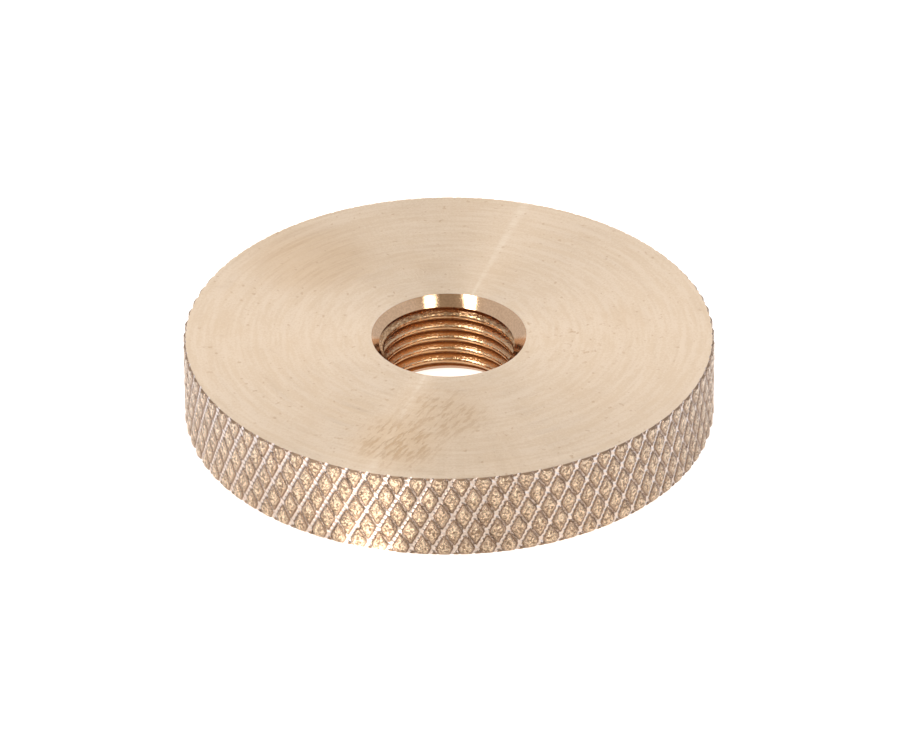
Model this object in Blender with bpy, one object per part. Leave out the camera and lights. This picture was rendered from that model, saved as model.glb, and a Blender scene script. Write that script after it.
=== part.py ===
"""Round knurled lock nut: a flat disc turned from solid brass bar and threaded right through.

Run it with blender --background --python part.py, or from Blender's text editor.
Lengths are in metres and +Z is up. The origin is the centre of the lower face, on the thread's axis.
"""

import math

import bmesh
import bpy

# The turned disc.
OUTER_DIAMETER = 0.0381  # over the tips of the knurl
THICKNESS = 0.00635
EDGE_BREAK = 0.00027  # 45 degree chamfer round both faces
STEPS_PER_TURN = 48  # facets round every turned or threaded surface

# The knurl: two sets of V grooves that lean opposite ways, with blunt pyramids left between them.
KNURL_GROOVES = 77  # in each set
KNURL_DEPTH = 0.00024  # less than the chamfer, so that the faces keep round edges
RIGHT_LEAN = math.radians(27.5)  # from the axis, of the grooves that climb to the right seen from outside
LEFT_LEAN = math.radians(32.6)  # of the grooves that climb to the left
TIP_SHARE = 0.45  # width of a pyramid's flat tip, as a share of its base
KNURL_START = math.radians(-89.4)  # where one pair of grooves crosses at mid-thickness

# The threaded hole: right-hand, 27 turns to the inch, 60 degree form, countersunk at both mouths.
THREAD_PITCH = 0.0254 / 27
FLANK_ANGLE = math.radians(30)  # of each flank, from square to the axis
THREAD_DROP = 0.36  # of a pitch, how far the thread is shifted down from the middle of the nut
MINOR_DIAMETER = 0.00928
COUNTERSINK_DIAMETER = 0.0111  # of each 90 degree countersink at the face

# Room for the cuts.
BAR_ALLOWANCE = 0.0003  # bar left outside the knurl's tips before the knurl takes it away
BORE_ALLOWANCE = 0.0002  # metal left inside the thread before the tap takes it away
TAP_OVERRUN = 2  # turns of the tap past each face
FACET_OFFSET = 0.5  # of the tap's facets from the countersinks', so that their edges never coincide

# Finish.
BRASS_COLOUR = (0.78, 0.63, 0.45, 1.0)
BRASS_ROUGHNESS = 0.28
SHARP_EDGE = math.radians(25)

# Worked out from the dimensions above.
TIP_RADIUS = OUTER_DIAMETER / 2
ROOT_RADIUS = TIP_RADIUS - KNURL_DEPTH
FACE_RADIUS = TIP_RADIUS - EDGE_BREAK
BAR_RADIUS = TIP_RADIUS + BAR_ALLOWANCE
GROOVE_ANGLE = math.tau / KNURL_GROOVES
LEAN_SUM = math.tan(RIGHT_LEAN) + math.tan(LEFT_LEAN)
ROW_HEIGHT = TIP_RADIUS * GROOVE_ANGLE / LEAN_SUM  # between one row of groove crossings and the next
ROW_SHIFT = math.tan(RIGHT_LEAN) / LEAN_SUM  # of each row round the rim, in groove spacings
ROWS_EACH_WAY = math.ceil(THICKNESS / 2 / ROW_HEIGHT)
SHARP_V_HEIGHT = THREAD_PITCH / 2 / math.tan(FLANK_ANGLE)
MINOR_RADIUS = MINOR_DIAMETER / 2
MAJOR_RADIUS = MINOR_RADIUS + SHARP_V_HEIGHT * 5 / 8
COUNTERSINK_RADIUS = COUNTERSINK_DIAMETER / 2


def clear_scene():
    for old in list(bpy.data.objects):
        bpy.data.objects.remove(old, do_unlink=True)


def add_object(name, mesh):
    made = bpy.data.objects.new(name, mesh)
    bpy.context.scene.collection.objects.link(made)
    return made


def around(radius, angle, height):
    """The point at this radius and angle from the thread's axis."""
    return radius * math.cos(angle), radius * math.sin(angle), height


def close_ends(shell, low, high):
    """Joins every open edge of an upright tube to a point on the axis, past the end that it belongs to."""
    middle = (low + high) / 2
    low_point = shell.verts.new((0, 0, low))
    high_point = shell.verts.new((0, 0, high))
    for edge in [edge for edge in shell.edges if edge.is_boundary]:
        end = low_point if edge.verts[0].co.z < middle else high_point
        shell.faces.new((*edge.verts, end))
    bmesh.ops.recalc_face_normals(shell, faces=shell.faces)


def cutter_from(name, shell):
    """Turns a closed shell into a helper that shapes the nut and isn't itself part of it."""
    mesh = bpy.data.meshes.new(name)
    bmesh.ops.triangulate(shell, faces=shell.faces)
    shell.to_mesh(mesh)
    shell.free()
    cutter = add_object(name, mesh)
    cutter.hide_render = True
    cutter.display_type = "WIRE"
    return cutter


def turned_blank(name):
    """The disc as it leaves the lathe: chamfered, countersunk on both faces, not yet knurled or tapped."""
    pocket_radius = MINOR_RADIUS - BORE_ALLOWANCE
    pocket_depth = COUNTERSINK_RADIUS - pocket_radius
    chamfer = BAR_RADIUS - FACE_RADIUS
    upper_half = [
        (0, THICKNESS - pocket_depth),
        (pocket_radius, THICKNESS - pocket_depth),
        (COUNTERSINK_RADIUS, THICKNESS),
        (FACE_RADIUS, THICKNESS),
        (BAR_RADIUS, THICKNESS - chamfer),
    ]
    lower_half = [(radius, THICKNESS - height) for radius, height in reversed(upper_half)]
    outline = [(radius, 0, height) for radius, height in upper_half + lower_half]
    mesh = bpy.data.meshes.new(name)
    mesh.from_pydata(outline, [(i, i + 1) for i in range(len(outline) - 1)], [])
    blank = add_object(name, mesh)
    lathe = blank.modifiers.new("Lathe", "SCREW")
    lathe.steps = STEPS_PER_TURN
    lathe.render_steps = STEPS_PER_TURN
    lathe.use_merge_vertices = True
    lathe.merge_threshold = 0.00001
    return blank


def crossing_place(row, number):
    """Angle and height where two grooves cross. Row 0 is at mid-thickness."""
    angle = KNURL_START + (number + row * ROW_SHIFT) * GROOVE_ANGLE
    return angle, THICKNESS / 2 + row * ROW_HEIGHT


def add_pyramid(shell, crossings, row, number):
    """One blunt pyramid, between the groove crossings to its left, below, to its right and above."""
    corners = [(row, number), (row - 1, number + 1), (row, number + 1), (row + 1, number)]
    places = [crossing_place(*corner) for corner in corners]
    centre_angle = (places[0][0] + places[2][0]) / 2
    centre_height = places[0][1]
    base = []
    tip = []
    for (corner_row, corner_number), (angle, height) in zip(corners, places):
        key = corner_row, corner_number % KNURL_GROOVES
        if key not in crossings:
            crossings[key] = shell.verts.new(around(ROOT_RADIUS, angle, height))
        base.append(crossings[key])
        tip_angle = centre_angle + TIP_SHARE * (angle - centre_angle)
        tip_height = centre_height + TIP_SHARE * (height - centre_height)
        tip.append(shell.verts.new(around(TIP_RADIUS, tip_angle, tip_height)))
    for side in range(4):
        following = (side + 1) % 4
        shell.faces.new((base[side], base[following], tip[following], tip[side]))
    shell.faces.new(tip)


def knurled_bar():
    """A bar with the knurl all over its side. It is longer than the nut is thick."""
    shell = bmesh.new()
    crossings = {}
    for row in range(-ROWS_EACH_WAY, ROWS_EACH_WAY + 1):
        for number in range(KNURL_GROOVES):
            add_pyramid(shell, crossings, row, number)
    close_ends(shell, -THICKNESS, 2 * THICKNESS)
    return cutter_from("knurled_bar", shell)


def thread_outline():
    """Offset along the axis and radius of each corner of one turn of the tap."""
    half_root = THREAD_PITCH / 16
    half_tooth = half_root + (MAJOR_RADIUS - MINOR_RADIUS) * math.tan(FLANK_ANGLE)
    return [
        (-half_tooth, MINOR_RADIUS),
        (-half_root, MAJOR_RADIUS),
        (half_root, MAJOR_RADIUS),
        (half_tooth, MINOR_RADIUS),
    ]


def tap():
    """The solid that cuts the hole and its thread, with one helical tooth from end to end."""
    shell = bmesh.new()
    outline = thread_outline()
    turns = math.ceil(THICKNESS / THREAD_PITCH) + 2 * TAP_OVERRUN
    start = (THICKNESS - turns * THREAD_PITCH) / 2 - THREAD_DROP * THREAD_PITCH
    columns = []
    for step in range(STEPS_PER_TURN):
        share = (step + FACET_OFFSET) / STEPS_PER_TURN
        column = []
        for turn in range(turns):
            for offset, radius in outline:
                height = start + (turn + share) * THREAD_PITCH + offset
                column.append(shell.verts.new(around(radius, share * math.tau, height)))
        columns.append(column)
    columns.append(columns[0][len(outline):])
    for column, following in zip(columns, columns[1:]):
        for lower in range(len(following) - 1):
            upper = lower + 1
            shell.faces.new((column[lower], following[lower], following[upper], column[upper]))
    close_ends(shell, start - THREAD_PITCH, THICKNESS - start + THREAD_PITCH)
    return cutter_from("tap", shell)


def shape_with(piece, operation, cutter):
    cut = piece.modifiers.new(cutter.name, "BOOLEAN")
    cut.operation = operation
    cut.solver = "EXACT"
    cut.object = cutter


def brass():
    material = bpy.data.materials.new("brass")
    material.use_nodes = True
    shader = material.node_tree.nodes["Principled BSDF"]
    shader.inputs["Base Color"].default_value = BRASS_COLOUR
    shader.inputs["Metallic"].default_value = 1.0
    shader.inputs["Roughness"].default_value = BRASS_ROUGHNESS
    return material


def finished(name, piece, material):
    """The nut as a plain mesh, with its cuts made, its round surfaces smooth and its corners sharp."""
    bpy.context.view_layer.update()
    shaped = piece.evaluated_get(bpy.context.evaluated_depsgraph_get())
    mesh = bpy.data.meshes.new_from_object(shaped)
    mesh.name = name
    mesh.materials.clear()
    mesh.materials.append(material)
    mesh.shade_smooth()
    mesh.set_sharp_from_angle(angle=SHARP_EDGE)
    bpy.data.objects.remove(piece, do_unlink=True)
    return add_object(name, mesh)


def main():
    clear_scene()
    blank = turned_blank("turned_blank")
    shape_with(blank, "INTERSECT", knurled_bar())
    shape_with(blank, "DIFFERENCE", tap())
    finished("knurled_nut", blank, brass())


main()
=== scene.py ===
"""Looks of the knurled lock nut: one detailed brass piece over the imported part, in a pale studio.

Lengths are in metres and +Z is up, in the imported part's frame. The origin is the centre of the lower face.
Angles round the nut are measured from +X towards +Y, and the camera stands on the -Y side.
"""

import math

import bmesh
import bpy
import numpy as np
from mathutils import Matrix, Vector


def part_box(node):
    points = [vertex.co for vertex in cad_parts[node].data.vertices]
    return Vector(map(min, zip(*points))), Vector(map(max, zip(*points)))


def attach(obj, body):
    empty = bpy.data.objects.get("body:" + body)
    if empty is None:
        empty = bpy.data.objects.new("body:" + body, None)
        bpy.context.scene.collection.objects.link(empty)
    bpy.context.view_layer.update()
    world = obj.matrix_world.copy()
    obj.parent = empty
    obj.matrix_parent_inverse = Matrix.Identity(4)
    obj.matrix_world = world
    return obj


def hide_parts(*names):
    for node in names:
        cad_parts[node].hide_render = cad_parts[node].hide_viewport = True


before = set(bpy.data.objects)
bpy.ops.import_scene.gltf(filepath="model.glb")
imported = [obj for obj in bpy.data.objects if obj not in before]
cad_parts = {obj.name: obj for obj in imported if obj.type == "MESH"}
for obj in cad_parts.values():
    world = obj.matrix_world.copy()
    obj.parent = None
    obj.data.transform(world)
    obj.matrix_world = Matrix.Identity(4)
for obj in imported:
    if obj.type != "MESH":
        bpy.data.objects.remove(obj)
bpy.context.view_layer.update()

CAD_NODE = "knurled_nut"
SEED = 77

# The turned disc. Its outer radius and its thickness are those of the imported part.
LOWEST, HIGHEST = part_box(CAD_NODE)
TIP_RADIUS = min(HIGHEST[0] - LOWEST[0], HIGHEST[1] - LOWEST[1]) / 2
THICKNESS = HIGHEST[2] - LOWEST[2]
MIDDLE_HEIGHT = LOWEST[2] + THICKNESS / 2
EDGE_BREAK = 0.00021
CORNER_ROUNDING = 0.00005
CORNER_STEPS = 3
BLANK_STEPS = 256  # facets round the turned surfaces
SHARP_EDGE = math.radians(50)

# The knurl: two sets of grooves that lean opposite ways. The right-leaning set is the deeper one.
KNURL_GROOVES = 77
RIGHT_LEAN = math.radians(27.5)
LEFT_LEAN = math.radians(32.6)
KNURL_START = math.radians(-89.4)
RIGHT_DEPTH = 0.00026
LEFT_DEPTH = 0.00023
RIGHT_FLOOR = 0.14  # flat bottom of a right-leaning groove, as a share of the groove spacing
LEFT_FLOOR = 0.09
SHOULDER = 0.26  # where a groove's wall turns over into the pyramid's top, as a share of the spacing
FULLNESS = 3  # the higher, the steeper the walls and the flatter the tops
CRATER_DEPTH = 0.00003  # how far the middle of a pyramid's top lies below its rolled-up rim
TIP_WEAR = 0.00002  # the most that one pyramid is lower than another
LUMP_DEPTH = 0.00006  # unevenness of the tops
LUMP_REACH = 1  # of the blur that makes the lumps, in samples each way
TEAR_DEPTH = 0.000008  # roughness of the rolled metal
FLOOR_SAMPLES = 1  # across half a groove's flat bottom
WALL_SAMPLES = 4
TOP_SAMPLES = 4

# The thread: right-hand, 27 turns to the inch, 60 degree form.
THREAD_PITCH = 0.0254 / 27
FLANK_ANGLE = math.radians(30)
MINOR_RADIUS = 0.00464
CREST_BEVEL = 0.00008  # on each side of a crest's corners
COUNTERSINK_RADIUS = 0.00555
THREAD_DROP = 0.36  # of a pitch, how far the thread is shifted down from the middle of the nut
THREAD_STEPS = 144  # facets round one turn
TAP_OVERRUN = 2  # turns of the tap past each face
FACET_OFFSET = 0.5  # of the tap's facets from the countersinks'

# Room for the cuts.
BAR_ALLOWANCE = 0.0003
BORE_ALLOWANCE = 0.0002

# The camera.
VIEW_ELEVATION = math.radians(32.27)
VIEW_DISTANCE = 0.6723  # from the centre of the upper face
CAMERA_LENS = 376.2
CAMERA_ROLL = math.radians(-0.372)
AIM_RIGHT = 0.00006  # of the middle of the view, from the centre of the upper face
AIM_DOWN = 0.00288

# Brass, bare and in its worn, warm and oily shades, with the colours of painted highlight and painted shade
# among them.
BRIGHT_BRASS = (0.98, 0.63, 0.37, 1)
CONE_BRASS = (0.87, 0.55, 0.32, 1)
FACE_BRASS = (0.81, 0.64, 0.47, 1)
PALE_BRASS = (0.87, 0.71, 0.55, 1)
# painted highlight: the pale streak across the face through the hole
HIGHLIGHT_STREAK_BRASS = (0.98, 0.85, 0.70, 1)
TAN_BRASS = (0.76, 0.56, 0.37, 1)
SCUFF_BRASS = (0.62, 0.42, 0.25, 1)
WARM_BRASS = (0.84, 0.60, 0.38, 1)
OILED_BRASS = (0.84, 0.50, 0.25, 1)
# painted shade in the thread's roots, and the colour of the torn first turn
ROOT_SHADE_AND_TEAR_BRASS = (0.40, 0.21, 0.10, 1)
KNURL_BRASS = (0.97, 0.76, 0.54, 1)
GROOVE_BRASS = (0.78, 0.66, 0.57, 1)
WALL_BRASS = (0.60, 0.45, 0.33, 1)
# dark brass: grime on the knurl tops and chamfers, and painted shade at the foot of the groove walls
GRIME_AND_SHADE_BRASS = (0.37, 0.24, 0.15, 1)
# painted shade: the dark colour of the chamfers
SHADED_EDGE_BRASS = (0.42, 0.29, 0.19, 1)
STROKE_LEAN = math.radians(58)  # of the scuff's strokes, from +X
HIGHLIGHT_STREAK_SIDE = (0.954, -0.301, 0)  # square to the pale streak, a painted highlight that stays in place
HIGHLIGHT_STREAK_EDGES = (0.004, 0.032)  # where it starts to fade and where it ends, as sines of the angle off it
LEFT_SCUFF = (-3.6, -14.0, 4.6)  # across, along and reach of each patch of wear, in millimetres
MIDDLE_SCUFF = (-0.6, -10.6, 4.8)
BACK_SCUFF = (-9.8, 10.3, 6.5)
RIGHT_PITS = (10.0, -1.0, 5.0)
CREST_BAND = 0.00018  # height of the thread's crests, before the painted shade of the root starts
TORN_DEPTHS = (0.0018, 0.0013)  # below the upper face, where the first turn starts and ends being torn
ON_FLOOR = (0.012, 0.028)  # heights above a right-leaning groove's bottom, in millimetres
ON_LEFT_FLOOR = (0.034, 0.048)
UP_THE_WALL = (0.08, 0.11)
ON_TOP = (0.13, 0.18)
CHATTER_SPACING = 0.00041  # of the roll's marks along the right-leaning grooves

# The studio.
ROOM_LIGHT = 0.3
WALL_LIGHT = 0.60
HORIZON_LIGHT = 0.85
WARM_LIGHT = (1.0, 0.93, 0.86, 1)  # of the room in front and overhead
COOL_LIGHT = (0.95, 1.0, 1.12, 1)  # of the walls at the sides
FLOOR_HALF = 6.0
FLOOR_GAP = 0.00001  # below the nut
LEFT_GLOW = (-0.022, 0.0, 0.74, 0.38)  # from and to, along X, and the floor's light at each
RIGHT_GLOW = (0.0, 0.010, 0.36, 0.62)
COOL_FLOOR = (0.010, 0.034)  # distances from the middle between which the floor turns cool
FLOOR_SHADE = 0.35  # of black in the floor's own colour
BLACK = (0, 0, 0, 1)
KEY_FOCUS = (-0.0005, -0.0107, 0)  # on the floor, the point that the bright wedge spreads out from
KEY_HEADING = (-0.574, -0.819, 0)  # the way that it spreads
KEY_PATCH = (0.972, 0.984, 0.0, 2.6)  # cosines off its heading at its edge and inside it, and its light

# Worked out from the dimensions above.
FACE_RADIUS = TIP_RADIUS - EDGE_BREAK
BAR_RADIUS = TIP_RADIUS + BAR_ALLOWANCE
GROOVE_ANGLE = math.tau / KNURL_GROOVES
LEAN_SUM = math.tan(RIGHT_LEAN) + math.tan(LEFT_LEAN)
ROW_HEIGHT = TIP_RADIUS * GROOVE_ANGLE / LEAN_SUM
ROW_SHIFT = math.tan(RIGHT_LEAN) / LEAN_SUM
SHARP_V_HEIGHT = THREAD_PITCH / 2 / math.tan(FLANK_ANGLE)
MAJOR_RADIUS = MINOR_RADIUS + SHARP_V_HEIGHT * 5 / 8
MILLIMETRES = 1000.0
CHATTER_MARKS = round(math.tau * TIP_RADIUS * math.sin(RIGHT_LEAN) / CHATTER_SPACING)  # round the rim
CHATTER_CLIMB = math.tau * math.cos(RIGHT_LEAN) / (CHATTER_SPACING * MILLIMETRES)  # radians a millimetre up


def link(made):
    bpy.context.scene.collection.objects.link(made)
    return made


# ---------------------------------------------------------------- shape


def shell_object(name, points, faces, materials, face_materials=None):
    """A closed helper shell in triangles, with its faces pointing out."""
    mesh = bpy.data.meshes.new(name)
    mesh.from_pydata(points, [], faces)
    for material in materials:
        mesh.materials.append(material)
    if face_materials is not None:
        mesh.polygons.foreach_set("material_index", face_materials)
    shell = bmesh.new()
    shell.from_mesh(mesh)
    bmesh.ops.triangulate(shell, faces=shell.faces)
    bmesh.ops.recalc_face_normals(shell, faces=shell.faces)
    if shell.calc_volume(signed=True) < 0:
        bmesh.ops.reverse_faces(shell, faces=shell.faces)
    shell.to_mesh(mesh)
    shell.free()
    return link(bpy.data.objects.new(name, mesh))


def rounded(outline, radius):
    """The outline with an arc in place of each inner corner."""
    points = [outline[0]]
    for before, corner, after in zip(outline, outline[1:], outline[2:]):
        corner = Vector(corner)
        way_in = (Vector(before) - corner).normalized()
        way_out = (Vector(after) - corner).normalized()
        half_angle = way_in.angle(way_out) / 2
        reach = radius / math.tan(half_angle)
        centre = corner + (way_in + way_out).normalized() * radius / math.sin(half_angle)
        start = corner + way_in * reach - centre
        end = corner + way_out * reach - centre
        for step in range(CORNER_STEPS + 1):
            points.append(centre + start.lerp(end, step / CORNER_STEPS).normalized() * radius)
    points.append(outline[-1])
    return [tuple(point) for point in points]


def turned_blank(face_finish, cone_finish, edge_finish):
    """The disc before knurling and tapping: flat faces, countersinks and broken edges."""
    pocket_radius = MINOR_RADIUS - BORE_ALLOWANCE
    pocket_depth = COUNTERSINK_RADIUS - pocket_radius
    chamfer = BAR_RADIUS - FACE_RADIUS
    top = LOWEST[2] + THICKNESS
    upper_half = rounded(
        [
            (pocket_radius, top - pocket_depth),
            (COUNTERSINK_RADIUS, top),
            (FACE_RADIUS, top),
            (BAR_RADIUS, top - chamfer),
        ],
        CORNER_ROUNDING,
    )
    lower_half = [(radius, 2 * MIDDLE_HEIGHT - height) for radius, height in reversed(upper_half)]
    outline = upper_half + lower_half
    points = []
    for step in range(BLANK_STEPS):
        angle = math.tau * step / BLANK_STEPS
        for radius, height in outline:
            points.append((radius * math.cos(angle), radius * math.sin(angle), height))
    upper_middle = len(points)
    points.append((0, 0, top - pocket_depth))
    points.append((0, 0, LOWEST[2] + pocket_depth))
    faces = []
    finishes = []
    for step in range(BLANK_STEPS):
        here = step * len(outline)
        following = (step + 1) % BLANK_STEPS * len(outline)
        for ring in range(len(outline) - 1):
            faces.append((here + ring, following + ring, following + ring + 1, here + ring + 1))
            middle_radius = (outline[ring][0] + outline[ring + 1][0]) / 2
            if middle_radius < COUNTERSINK_RADIUS:
                finishes.append(1)
            elif middle_radius > FACE_RADIUS:
                finishes.append(2)
            else:
                finishes.append(0)
        faces.append((upper_middle, here, following))
        faces.append((upper_middle + 1, here + len(outline) - 1, following + len(outline) - 1))
        finishes += [1, 1]
    return shell_object("blank", points, faces, [face_finish, cone_finish, edge_finish], finishes)


def sample_places(floor_share):
    """Places across one groove spacing, from one groove's middle to the next, closest on its walls."""
    floor = floor_share / 2
    corners = [0, floor, SHOULDER, 1 - SHOULDER, 1 - floor, 1]
    counts = [FLOOR_SAMPLES, WALL_SAMPLES, TOP_SAMPLES, WALL_SAMPLES, FLOOR_SAMPLES]
    spans = zip(corners, corners[1:], counts)
    parts = [np.linspace(start, end, count, endpoint=False) for start, end, count in spans]
    return np.concatenate(parts)


def groove_depth(phase, floor_share, depth):
    """Depth of a groove with a flat bottom, steep walls and round shoulders.

    The phase is in groove spacings from one groove's middle.
    """
    off_middle = np.abs(phase - np.round(phase))
    floor = floor_share / 2
    up_the_wall = np.clip((off_middle - floor) / (0.5 - floor), 0, 1)
    return depth * (1 - up_the_wall) ** FULLNESS


def soft_lumps(random, shape):
    """Random lumps a few samples across, from 0 to 1, with no seam round the bar."""
    field = random.random(shape)
    for axis in (0, 1):
        field = sum(np.roll(field, step, axis) for step in range(-LUMP_REACH, LUMP_REACH + 1))
    return (field - field.min()) / (field.max() - field.min())


def knurled_bar(finish):
    """A bar with the knurl all over its side, longer than the nut is thick, sampled along its grooves."""
    random = np.random.default_rng(SEED)
    right_places = sample_places(RIGHT_FLOOR)
    left_places = sample_places(LEFT_FLOOR)
    samples = len(right_places)
    rows = math.ceil(THICKNESS / 2 / ROW_HEIGHT) + 1
    reach = rows * samples
    first = np.arange(KNURL_GROOVES * samples)[:, None]
    second = first + np.arange(-reach, reach + 1)[None, :]
    right_phase = first // samples + right_places[first % samples]
    left_phase = second // samples + left_places[second % samples]
    height = MIDDLE_HEIGHT + (left_phase - right_phase) * ROW_HEIGHT
    angle = KNURL_START + GROOVE_ANGLE * (right_phase + (left_phase - right_phase) * ROW_SHIFT)

    # Each pyramid has its own wear and its own crater.
    cell_column = first // samples + 0 * second
    cell_row = second // samples - first // samples + rows + 1
    wear = random.random((KNURL_GROOVES, 2 * rows + 3)) * TIP_WEAR
    crater = random.random((KNURL_GROOVES, 2 * rows + 3)) * CRATER_DEPTH
    right_off = np.abs(right_phase % 1 - 0.5) / (0.5 - SHOULDER)
    left_off = np.abs(left_phase % 1 - 0.5) / (0.5 - SHOULDER)
    dish = np.clip(1 - np.maximum(right_off, left_off), 0, 1)
    tip = wear[cell_column, cell_row] + crater[cell_column, cell_row] * dish

    right_groove = groove_depth(right_phase, RIGHT_FLOOR, RIGHT_DEPTH)
    left_groove = groove_depth(left_phase, LEFT_FLOOR, LEFT_DEPTH)
    groove = np.minimum((right_groove**3 + left_groove**3) ** (1 / 3), RIGHT_DEPTH)
    unworn = 1 - groove / RIGHT_DEPTH
    rough_top = (tip + soft_lumps(random, height.shape) * LUMP_DEPTH) * unworn
    radius = TIP_RADIUS - groove - rough_top - random.random(height.shape) * TEAR_DEPTH

    width = 2 * reach + 1
    points = np.stack([radius * np.cos(angle), radius * np.sin(angle), height], axis=-1).reshape(-1, 3)
    columns = np.arange(len(first))[:, None] * width
    following = np.roll(columns, -1, axis=0)
    middle = np.arange(1, width - 1)[None, :]
    faces = np.stack(
        [columns + middle, following + middle - 1, following + middle, columns + middle + 1], axis=-1
    ).reshape(-1, 4)
    return closed_tube("knurled_bar", points.tolist(), faces.tolist(), finish)


def closed_tube(name, points, faces, finish):
    """Joins the two open ends of an upright tube to points on the axis, well past each end."""
    uses = {}
    for face in faces:
        for start, end in zip(face, face[1:] + face[:1]):
            edge = (min(start, end), max(start, end))
            uses[edge] = uses.get(edge, 0) + 1
    low_point = len(points)
    points = points + [(0, 0, LOWEST[2] - THICKNESS), (0, 0, LOWEST[2] + 2 * THICKNESS)]
    caps = []
    for (start, end), count in uses.items():
        if count == 1:
            caps.append((start, end, low_point if points[start][2] < MIDDLE_HEIGHT else low_point + 1))
    return shell_object(name, points, faces + caps, [finish])


def tap(finish):
    """The solid that cuts the hole and its thread."""
    half_root = THREAD_PITCH / 16
    half_tooth = half_root + (MAJOR_RADIUS - MINOR_RADIUS) * math.tan(FLANK_ANGLE)
    corner = Vector((half_tooth, MINOR_RADIUS))
    up_flank = Vector((-math.sin(FLANK_ANGLE), math.cos(FLANK_ANGLE))) * CREST_BEVEL
    along_crest = Vector((CREST_BEVEL, 0))
    upper_half = [
        (half_root, MAJOR_RADIUS),
        tuple(corner + 2 * up_flank),
        tuple(corner + up_flank),
        tuple(corner + along_crest),
    ]
    lower_half = [(-offset, radius) for offset, radius in reversed(upper_half)]
    outline = lower_half + upper_half
    turns = math.ceil(THICKNESS / THREAD_PITCH) + 2 * TAP_OVERRUN
    start = MIDDLE_HEIGHT - (turns / 2 + THREAD_DROP) * THREAD_PITCH
    points = []
    for step in range(THREAD_STEPS):
        share = (step + FACET_OFFSET) / THREAD_STEPS
        angle = share * math.tau
        for turn in range(turns):
            for offset, radius in outline:
                height = start + (turn + share) * THREAD_PITCH + offset
                points.append((radius * math.cos(angle), radius * math.sin(angle), height))
    column_length = turns * len(outline)
    faces = []
    for step in range(THREAD_STEPS):
        here = step * column_length
        following = (step + 1) % THREAD_STEPS * column_length
        skip = len(outline) if step == THREAD_STEPS - 1 else 0
        for lower in range(column_length - 1 - skip):
            right = following + lower + skip
            faces.append((here + lower, right, right + 1, here + lower + 1))
    return closed_tube("tap", points, faces, finish)


def shape_with(piece, operation, cutter):
    cut = piece.modifiers.new(cutter.name, "BOOLEAN")
    cut.operation = operation
    cut.solver = "EXACT"
    cut.material_mode = "TRANSFER"
    cut.object = cutter


def turned_brass_nut(finishes):
    blank = turned_blank(finishes["face"], finishes["cone"], finishes["edge"])
    tool = tap(finishes["thread"])
    bar = knurled_bar(finishes["knurl"])
    shape_with(blank, "INTERSECT", bar)
    shape_with(blank, "DIFFERENCE", tool)
    bpy.context.view_layer.update()
    shaped = blank.evaluated_get(bpy.context.evaluated_depsgraph_get())
    mesh = bpy.data.meshes.new_from_object(shaped)
    for helper in (blank, tool, bar):
        bpy.data.objects.remove(helper, do_unlink=True)
    mesh.shade_smooth()
    mesh.set_sharp_from_angle(angle=SHARP_EDGE)
    return link(bpy.data.objects.new("turned_brass_nut", mesh))


# ---------------------------------------------------------------- materials


def add_node(tree, kind, inputs=None, **settings):
    """A new node. Each input has its name or number, and a value or the output that feeds it."""
    made = tree.nodes.new(kind)
    for name, value in settings.items():
        setattr(made, name, value)
    for socket, value in (inputs or {}).items():
        if isinstance(value, bpy.types.NodeSocket):
            tree.links.new(value, made.inputs[socket])
        else:
            made.inputs[socket].default_value = value
    return made


def calculate(tree, operation, *values):
    return add_node(tree, "ShaderNodeMath", dict(enumerate(values)), operation=operation).outputs[0]


def ramp(tree, value, low, high, low_result=0.0, high_result=1.0):
    """Takes a value between low and high to one between the two results, smoothly and no further."""
    inputs = {"Value": value, 1: low, 2: high, 3: low_result, 4: high_result}
    return add_node(tree, "ShaderNodeMapRange", inputs, interpolation_type="SMOOTHSTEP").outputs["Result"]


def noise(tree, vector, scale, detail=2.0, roughness=0.5):
    inputs = {"Vector": vector, "Scale": scale, "Detail": detail, "Roughness": roughness}
    return add_node(tree, "ShaderNodeTexNoise", inputs).outputs["Fac"]


def mixed_colour(tree, share, first, second):
    """The colour that is this share of the way from the first to the second."""
    return add_node(tree, "ShaderNodeMix", {0: share, 6: first, 7: second}, data_type="RGBA").outputs[2]


class Coordinates:
    """The shaded point in millimetres, and what else the finishes are laid out by."""

    def __init__(self, tree):
        place = add_node(tree, "ShaderNodeTexCoord").outputs["Object"]
        scaled = add_node(tree, "ShaderNodeVectorMath", {0: place, "Scale": MILLIMETRES}, operation="SCALE")
        self.point = scaled.outputs["Vector"]
        flat = add_node(tree, "ShaderNodeVectorMath", {0: self.point, 1: (1, 1, 0)}, operation="MULTIPLY")
        self.radius = add_node(
            tree, "ShaderNodeVectorMath", {0: flat.outputs["Vector"]}, operation="LENGTH"
        ).outputs["Value"]
        self.outward = add_node(
            tree, "ShaderNodeVectorMath", {0: flat.outputs["Vector"]}, operation="NORMALIZE"
        ).outputs["Vector"]
        parts = add_node(tree, "ShaderNodeSeparateXYZ", {0: self.point}).outputs
        self.height = parts["Z"]
        self.angle = calculate(tree, "ARCTAN2", parts["Y"], parts["X"])

    def turned(self, tree, across, around):
        """Coordinates that repeat quickly across the lathe's path and slowly around it, with no seam."""
        spread = add_node(
            tree, "ShaderNodeVectorMath", {0: self.outward, "Scale": around}, operation="SCALE"
        )
        ring = calculate(tree, "MULTIPLY", self.radius, across)
        rise = calculate(tree, "MULTIPLY_ADD", self.height, across, ring)
        lift = add_node(tree, "ShaderNodeCombineXYZ", {"Z": rise}).outputs["Vector"]
        return add_node(
            tree, "ShaderNodeVectorMath", {0: spread.outputs["Vector"], 1: lift}, operation="ADD"
        ).outputs["Vector"]


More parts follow.
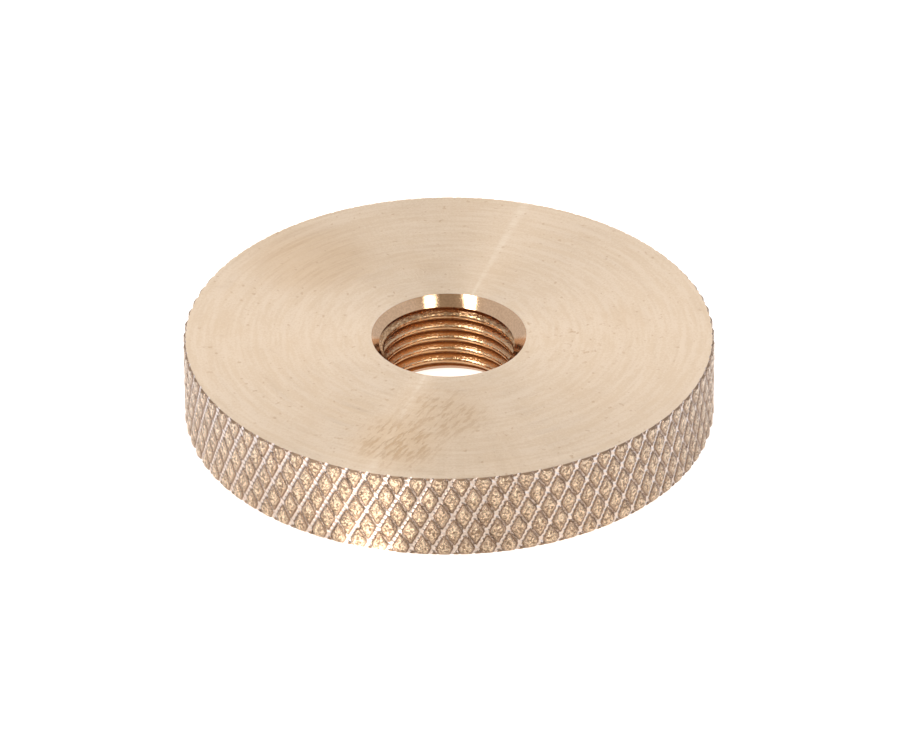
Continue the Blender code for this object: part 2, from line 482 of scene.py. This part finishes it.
def metal(name, roughness, anisotropic=0.0):
    """A bare metal with its own shader, ready for its colour, roughness and surface."""
    material = bpy.data.materials.new(name)
    material.use_nodes = True
    tree = material.node_tree
    shader = tree.nodes["Principled BSDF"]
    shader.inputs["Metallic"].default_value = 1.0
    shader.inputs["Roughness"].default_value = roughness
    if anisotropic:
        shader.inputs["Anisotropic"].default_value = anisotropic
        shader.inputs["Anisotropic Rotation"].default_value = 0.25
        tangent = add_node(tree, "ShaderNodeTangent", direction_type="RADIAL", axis="Z")
        tree.links.new(tangent.outputs["Tangent"], shader.inputs["Tangent"])
    return material, tree, shader


def raise_surface(tree, shader, height, depth):
    """Bumps the surface by a height between 0 and 1, which stands for this many metres."""
    bump = add_node(tree, "ShaderNodeBump", {"Height": height, "Distance": depth, "Strength": 1.0})
    tree.links.new(bump.outputs["Normal"], shader.inputs["Normal"])


def near(tree, place, patch):
    """1 at the middle of a patch of the upper face, falling to 0 at its reach."""
    across, along, reach = patch
    centre = (across, along, THICKNESS * MILLIMETRES)
    distance = add_node(tree, "ShaderNodeVectorMath", {0: place.point, 1: centre}, operation="DISTANCE")
    return ramp(tree, distance.outputs["Value"], 0.25 * reach, reach, 1.0, 0.0)


def turned_face():
    """Fine facing cuts round the axis, with hairline scratches, tan patches, a few warm scuffs and a pale
    streak through the hole that is a painted highlight.
    """
    material, tree, shader = metal("turned_face", 0.36, 0.85)
    place = Coordinates(tree)
    fine_cuts = noise(tree, place.turned(tree, 7.0, 1.6), 1.0, 3.0, 0.6)
    arc_cuts = noise(tree, place.turned(tree, 3.0, 4.0), 1.0, 2.0)
    grain = noise(tree, place.point, 6.5, 4.0, 0.75)
    patches = ramp(tree, noise(tree, place.point, 0.17, 3.0, 0.6), 0.48, 0.72)

    slanted = add_node(
        tree,
        "ShaderNodeMapping",
        {"Vector": place.point, "Rotation": (0, 0, STROKE_LEAN), "Scale": (1.1, 0.22, 1)},
        vector_type="TEXTURE",
    ).outputs["Vector"]
    strokes = ramp(tree, noise(tree, slanted, 1.0, 3.0, 0.6), 0.48, 0.60)
    brushing = ramp(tree, noise(tree, place.turned(tree, 4.0, 3.5), 1.0, 3.0, 0.6), 0.45, 0.65)
    left_scuff = near(tree, place, LEFT_SCUFF)
    middle_scuff = near(tree, place, MIDDLE_SCUFF)
    front_scuff = calculate(tree, "MAXIMUM", left_scuff, calculate(tree, "MULTIPLY", middle_scuff, 0.7))
    back_scuff = near(tree, place, BACK_SCUFF)
    scuffs = calculate(tree, "MAXIMUM", front_scuff, back_scuff)
    front_marks = calculate(tree, "MULTIPLY", strokes, front_scuff)
    back_marks = calculate(tree, "MULTIPLY", brushing, calculate(tree, "MULTIPLY", back_scuff, 0.5))
    marks = calculate(tree, "MAXIMUM", front_marks, back_marks)
    spots = ramp(tree, noise(tree, place.point, 1.9, 2.0), 0.60, 0.72)
    pits = calculate(tree, "MULTIPLY", spots, near(tree, place, RIGHT_PITS))
    specks = calculate(tree, "MULTIPLY", ramp(tree, noise(tree, place.point, 2.4, 1.0), 0.70, 0.76), 0.7)
    from_line = calculate(tree, "SUBTRACT", noise(tree, place.point, 0.3, 1.0), 0.5)
    off_line = calculate(tree, "ABSOLUTE", from_line)
    hairline = calculate(tree, "MULTIPLY", ramp(tree, off_line, 0.0, 0.004, 1.0, 0.0), patches)
    wear = calculate(tree, "MAXIMUM", calculate(tree, "MAXIMUM", marks, pits), specks)

    mottle = calculate(tree, "MULTIPLY_ADD", arc_cuts, 0.4, calculate(tree, "MULTIPLY", grain, 0.6))
    clean = mixed_colour(tree, ramp(tree, mottle, 0.42, 0.58), FACE_BRASS, PALE_BRASS)
    tan_share = calculate(tree, "MAXIMUM", calculate(tree, "MULTIPLY", patches, 0.35), scuffs)
    # Painted highlight: a pale streak through the hole, laid on the metal as colour so it stays in place.
    side_step = add_node(
        tree, "ShaderNodeVectorMath", {0: place.outward, 1: HIGHLIGHT_STREAK_SIDE}, operation="DOT_PRODUCT"
    )
    off_painted_highlight = calculate(tree, "ABSOLUTE", side_step.outputs["Value"])
    in_painted_highlight = ramp(tree, off_painted_highlight, *HIGHLIGHT_STREAK_EDGES, 1.0, 0.0)
    hatched_highlight = calculate(tree, "MULTIPLY", in_painted_highlight, ramp(tree, fine_cuts, 0.3, 0.6))
    highlight_painted = mixed_colour(tree, calculate(tree, "MULTIPLY", hatched_highlight, 0.5), clean, HIGHLIGHT_STREAK_BRASS)
    tanned = mixed_colour(tree, calculate(tree, "MULTIPLY", tan_share, 0.6), highlight_painted, TAN_BRASS)
    worn = mixed_colour(tree, calculate(tree, "MULTIPLY", wear, 0.6), tanned, SCUFF_BRASS)
    tree.links.new(worn, shader.inputs["Base Color"])
    dull = calculate(tree, "MULTIPLY_ADD", fine_cuts, 0.12, 0.30)
    tree.links.new(calculate(tree, "MULTIPLY_ADD", wear, 0.06, dull), shader.inputs["Roughness"])
    glinting_cuts = noise(tree, place.turned(tree, 16.0, 3.0), 1.0, 2.0)
    tree.links.new(ramp(tree, glinting_cuts, 0.5, 0.7, 0.76, 0.98), shader.inputs["Anisotropic"])
    cuts = calculate(tree, "MULTIPLY_ADD", fine_cuts, 0.5, calculate(tree, "MULTIPLY", grain, 0.5))
    scratched = calculate(tree, "MULTIPLY_ADD", hairline, -0.6, cuts)
    raise_surface(tree, shader, calculate(tree, "MULTIPLY_ADD", wear, -0.6, scratched), 0.000015)
    return material


def countersink():
    """A bright cone with the countersink's own turning lines."""
    material, tree, shader = metal("countersink", 0.16, 0.5)
    place = Coordinates(tree)
    lines = noise(tree, place.turned(tree, 12.0, 2.0), 1.0, 3.0)
    grain = noise(tree, place.point, 6.0, 3.0, 0.6)
    tone = ramp(tree, grain, 0.35, 0.65)
    tree.links.new(mixed_colour(tree, tone, CONE_BRASS, BRIGHT_BRASS), shader.inputs["Base Color"])
    tree.links.new(calculate(tree, "MULTIPLY_ADD", lines, 0.14, 0.04), shader.inputs["Roughness"])
    raise_surface(tree, shader, lines, 0.000003)
    return material


def broken_edge():
    """The narrow chamfers, painted darker than the faces as shade, and a little uneven."""
    material, tree, shader = metal("broken_edge", 0.6)
    place = Coordinates(tree)
    grain = noise(tree, place.point, 6.0, 3.0)
    # painted shade: the chamfers are given a dark colour in place of the shade they lie in
    tree.links.new(mixed_colour(tree, grain, SHADED_EDGE_BRASS, GRIME_AND_SHADE_BRASS), shader.inputs["Base Color"])
    raise_surface(tree, shader, grain, 0.00001)
    return material


def tapped_thread():
    """Cut metal with a warm film of cutting oil, torn a little along the turns, with painted shade in the
    roots.
    """
    material, tree, shader = metal("tapped_thread", 0.2)
    place = Coordinates(tree)
    tears = noise(tree, place.turned(tree, 6.0, 14.0), 1.0, 3.0, 0.6)
    grain = noise(tree, place.point, 7.0, 2.0)
    film = ramp(tree, grain, 0.35, 0.7)
    oiled = mixed_colour(tree, film, OILED_BRASS, WARM_BRASS)
    crest = (MINOR_RADIUS + CREST_BAND) * MILLIMETRES
    # painted shade: the thread darkens from the crests into the roots
    root_shade = ramp(tree, place.radius, crest, MAJOR_RADIUS * MILLIMETRES)
    torn_from = (THICKNESS - TORN_DEPTHS[0]) * MILLIMETRES
    torn_to = (THICKNESS - TORN_DEPTHS[1]) * MILLIMETRES
    first_turn = ramp(tree, place.height, torn_from, torn_to)
    torn = calculate(tree, "MULTIPLY", first_turn, ramp(tree, tears, 0.35, 0.6))
    dark = calculate(tree, "MAXIMUM", root_shade, calculate(tree, "MULTIPLY", torn, 0.8))
    tree.links.new(mixed_colour(tree, dark, oiled, ROOT_SHADE_AND_TEAR_BRASS), shader.inputs["Base Color"])
    tree.links.new(calculate(tree, "MULTIPLY_ADD", tears, 0.2, 0.06), shader.inputs["Roughness"])
    raise_surface(tree, shader, calculate(tree, "MULTIPLY_ADD", grain, 0.5, tears), 0.00003)
    return material


def rolled_knurl():
    """Bright groove bottoms with the roll's chatter, painted shade at the foot of the walls, and rough, torn
    pyramid tops.
    """
    material, tree, shader = metal("rolled_knurl", 0.2)
    place = Coordinates(tree)
    above_floor = calculate(tree, "SUBTRACT", place.radius, (TIP_RADIUS - RIGHT_DEPTH) * MILLIMETRES)
    on_floor = ramp(tree, above_floor, *ON_FLOOR, 1.0, 0.0)
    on_left_floor = ramp(tree, above_floor, *ON_LEFT_FLOOR, 0.6, 0.0)
    up_the_wall = ramp(tree, above_floor, *UP_THE_WALL)
    on_top = ramp(tree, above_floor, *ON_TOP)
    curls = noise(tree, place.point, 3.4, 3.0, 0.65)
    creases = noise(tree, place.point, 5.0, 3.0, 0.65)
    climb = calculate(tree, "MULTIPLY", place.height, CHATTER_CLIMB)
    chatter_phase = calculate(tree, "MULTIPLY_ADD", place.angle, CHATTER_MARKS, climb)
    chatter = calculate(tree, "MULTIPLY", calculate(tree, "SINE", chatter_phase), on_floor)
    rough_top = calculate(tree, "MULTIPLY", curls, calculate(tree, "SUBTRACT", 1.0, on_floor))
    top_colour = mixed_colour(tree, ramp(tree, creases, 0.40, 0.58), GRIME_AND_SHADE_BRASS, KNURL_BRASS)
    # painted shade: the groove walls darken towards their foot
    shaded_wall_colour = mixed_colour(tree, up_the_wall, GRIME_AND_SHADE_BRASS, WALL_BRASS)
    raised_colour = mixed_colour(tree, on_top, shaded_wall_colour, top_colour)
    polished = calculate(tree, "MAXIMUM", on_floor, on_left_floor)
    tree.links.new(mixed_colour(tree, polished, raised_colour, GROOVE_BRASS), shader.inputs["Base Color"])
    tree.links.new(calculate(tree, "MULTIPLY_ADD", on_floor, -0.08, 0.18), shader.inputs["Roughness"])
    raise_surface(tree, shader, calculate(tree, "MULTIPLY_ADD", chatter, 0.08, rough_top), 0.0003)
    return material


def brass_finishes():
    return {
        "face": turned_face(),
        "cone": countersink(),
        "edge": broken_edge(),
        "thread": tapped_thread(),
        "knurl": rolled_knurl(),
    }


# ---------------------------------------------------------------- studio


def toward(azimuth, elevation):
    """Unit vector to a place in the studio. Azimuth 0 is the camera's side, and 90 degrees is its right."""
    azimuth = math.radians(azimuth)
    elevation = math.radians(elevation)
    return Vector(
        (
            math.sin(azimuth) * math.cos(elevation),
            -math.cos(azimuth) * math.cos(elevation),
            math.sin(elevation),
        )
    )


def add_light(name, azimuth, elevation, distance, width, height, radiance):
    """A softbox that faces the nut. Angles are in degrees."""
    data = bpy.data.lights.new(name, "AREA")
    data.shape = "RECTANGLE"
    data.size = width
    data.size_y = height
    data.energy = radiance * math.pi * width * height
    light = link(bpy.data.objects.new(name, data))
    way = toward(azimuth, elevation)
    light.location = way * distance
    light.rotation_euler = way.to_track_quat("Z", "Y").to_euler()


def add_floor():
    """A floor that the camera sees as plain white and the nut sees as dimmer, tinted and uneven.

    The bright wedge stands in for the key light's mirror image in a glossy table.
    """
    mesh = bpy.data.meshes.new("floor")
    half = FLOOR_HALF
    height = LOWEST[2] - FLOOR_GAP
    mesh.from_pydata(
        [(-half, -half, height), (half, -half, height), (half, half, height), (-half, half, height)],
        [],
        [(0, 1, 2, 3)],
    )
    floor = link(bpy.data.objects.new("floor", mesh))
    material = bpy.data.materials.new("pale_floor")
    material.use_nodes = True
    tree = material.node_tree
    shader = tree.nodes["Principled BSDF"]
    shader.inputs["Roughness"].default_value = 0.1
    shader.inputs["IOR"].default_value = 1.8
    place = add_node(tree, "ShaderNodeTexCoord").outputs["Object"]
    sideways = add_node(tree, "ShaderNodeSeparateXYZ", {0: place}).outputs["X"]
    left_glow = ramp(tree, sideways, *LEFT_GLOW)
    right_glow = ramp(tree, sideways, *RIGHT_GLOW)
    from_focus = add_node(tree, "ShaderNodeVectorMath", {0: place, 1: KEY_FOCUS}, operation="SUBTRACT")
    direction = add_node(
        tree, "ShaderNodeVectorMath", {0: from_focus.outputs["Vector"]}, operation="NORMALIZE"
    ).outputs["Vector"]
    toward_key = add_node(
        tree, "ShaderNodeVectorMath", {0: direction, 1: KEY_HEADING}, operation="DOT_PRODUCT"
    )
    key_patch = ramp(tree, toward_key.outputs["Value"], *KEY_PATCH)
    glow = calculate(tree, "MAXIMUM", calculate(tree, "MAXIMUM", left_glow, right_glow), key_patch)
    off_middle = calculate(tree, "ABSOLUTE", sideways)
    tint = mixed_colour(tree, ramp(tree, off_middle, *COOL_FLOOR), WARM_LIGHT, COOL_LIGHT)
    tree.links.new(mixed_colour(tree, FLOOR_SHADE, tint, BLACK), shader.inputs["Base Color"])
    tree.links.new(tint, shader.inputs["Emission Color"])
    seen = add_node(tree, "ShaderNodeLightPath").outputs["Is Camera Ray"]
    tree.links.new(calculate(tree, "MAXIMUM", glow, seen), shader.inputs["Emission Strength"])
    mesh.materials.append(material)


def add_world():
    world = bpy.data.worlds.new("studio")
    bpy.context.scene.world = world
    world.use_nodes = True
    tree = world.node_tree
    way = add_node(tree, "ShaderNodeTexCoord").outputs["Generated"]
    parts = add_node(tree, "ShaderNodeSeparateXYZ", {0: way}).outputs
    toward_walls = ramp(tree, calculate(tree, "ABSOLUTE", parts["X"]), 0.2, 0.7)
    horizon = ramp(tree, parts["Z"], 0.0, 0.25, HORIZON_LIGHT, 0.0)
    room = ramp(tree, toward_walls, 0.0, 1.0, ROOM_LIGHT, WALL_LIGHT)
    background = tree.nodes["Background"]
    tree.links.new(mixed_colour(tree, toward_walls, WARM_LIGHT, COOL_LIGHT), background.inputs["Color"])
    tree.links.new(calculate(tree, "MAXIMUM", room, horizon), background.inputs["Strength"])


def add_camera():
    top_centre = Vector((0, 0, HIGHEST[2]))
    back = toward(0, math.degrees(VIEW_ELEVATION))
    right = Vector((1, 0, 0))
    up = back.cross(right)
    place = top_centre + back * VIEW_DISTANCE
    aim = top_centre + right * AIM_RIGHT - up * AIM_DOWN
    facing = (aim - place).to_track_quat("-Z", "Y").to_matrix() @ Matrix.Rotation(CAMERA_ROLL, 3, "Z")
    data = bpy.data.cameras.new("camera")
    data.lens = CAMERA_LENS
    camera = link(bpy.data.objects.new("camera", data))
    camera.matrix_world = Matrix.Translation(place) @ facing.to_4x4()
    bpy.context.scene.camera = camera


def write_sizes():
    bpy.context.view_layer.update()


nut = turned_brass_nut(brass_finishes())
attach(nut, "root")
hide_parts(CAD_NODE)

add_floor()
add_world()
add_light("key_light", azimuth=-45.5, elevation=54, distance=1.5, width=0.27, height=0.8, radiance=12.0)
add_light("fill_light", azimuth=39, elevation=54, distance=1.5, width=0.30, height=0.5, radiance=5.0)
add_light("back_light", azimuth=180, elevation=34, distance=2.0, width=2.0, height=2.0, radiance=0.74)
add_camera()
bpy.context.scene.view_settings.view_transform = "Standard"
write_sizes()
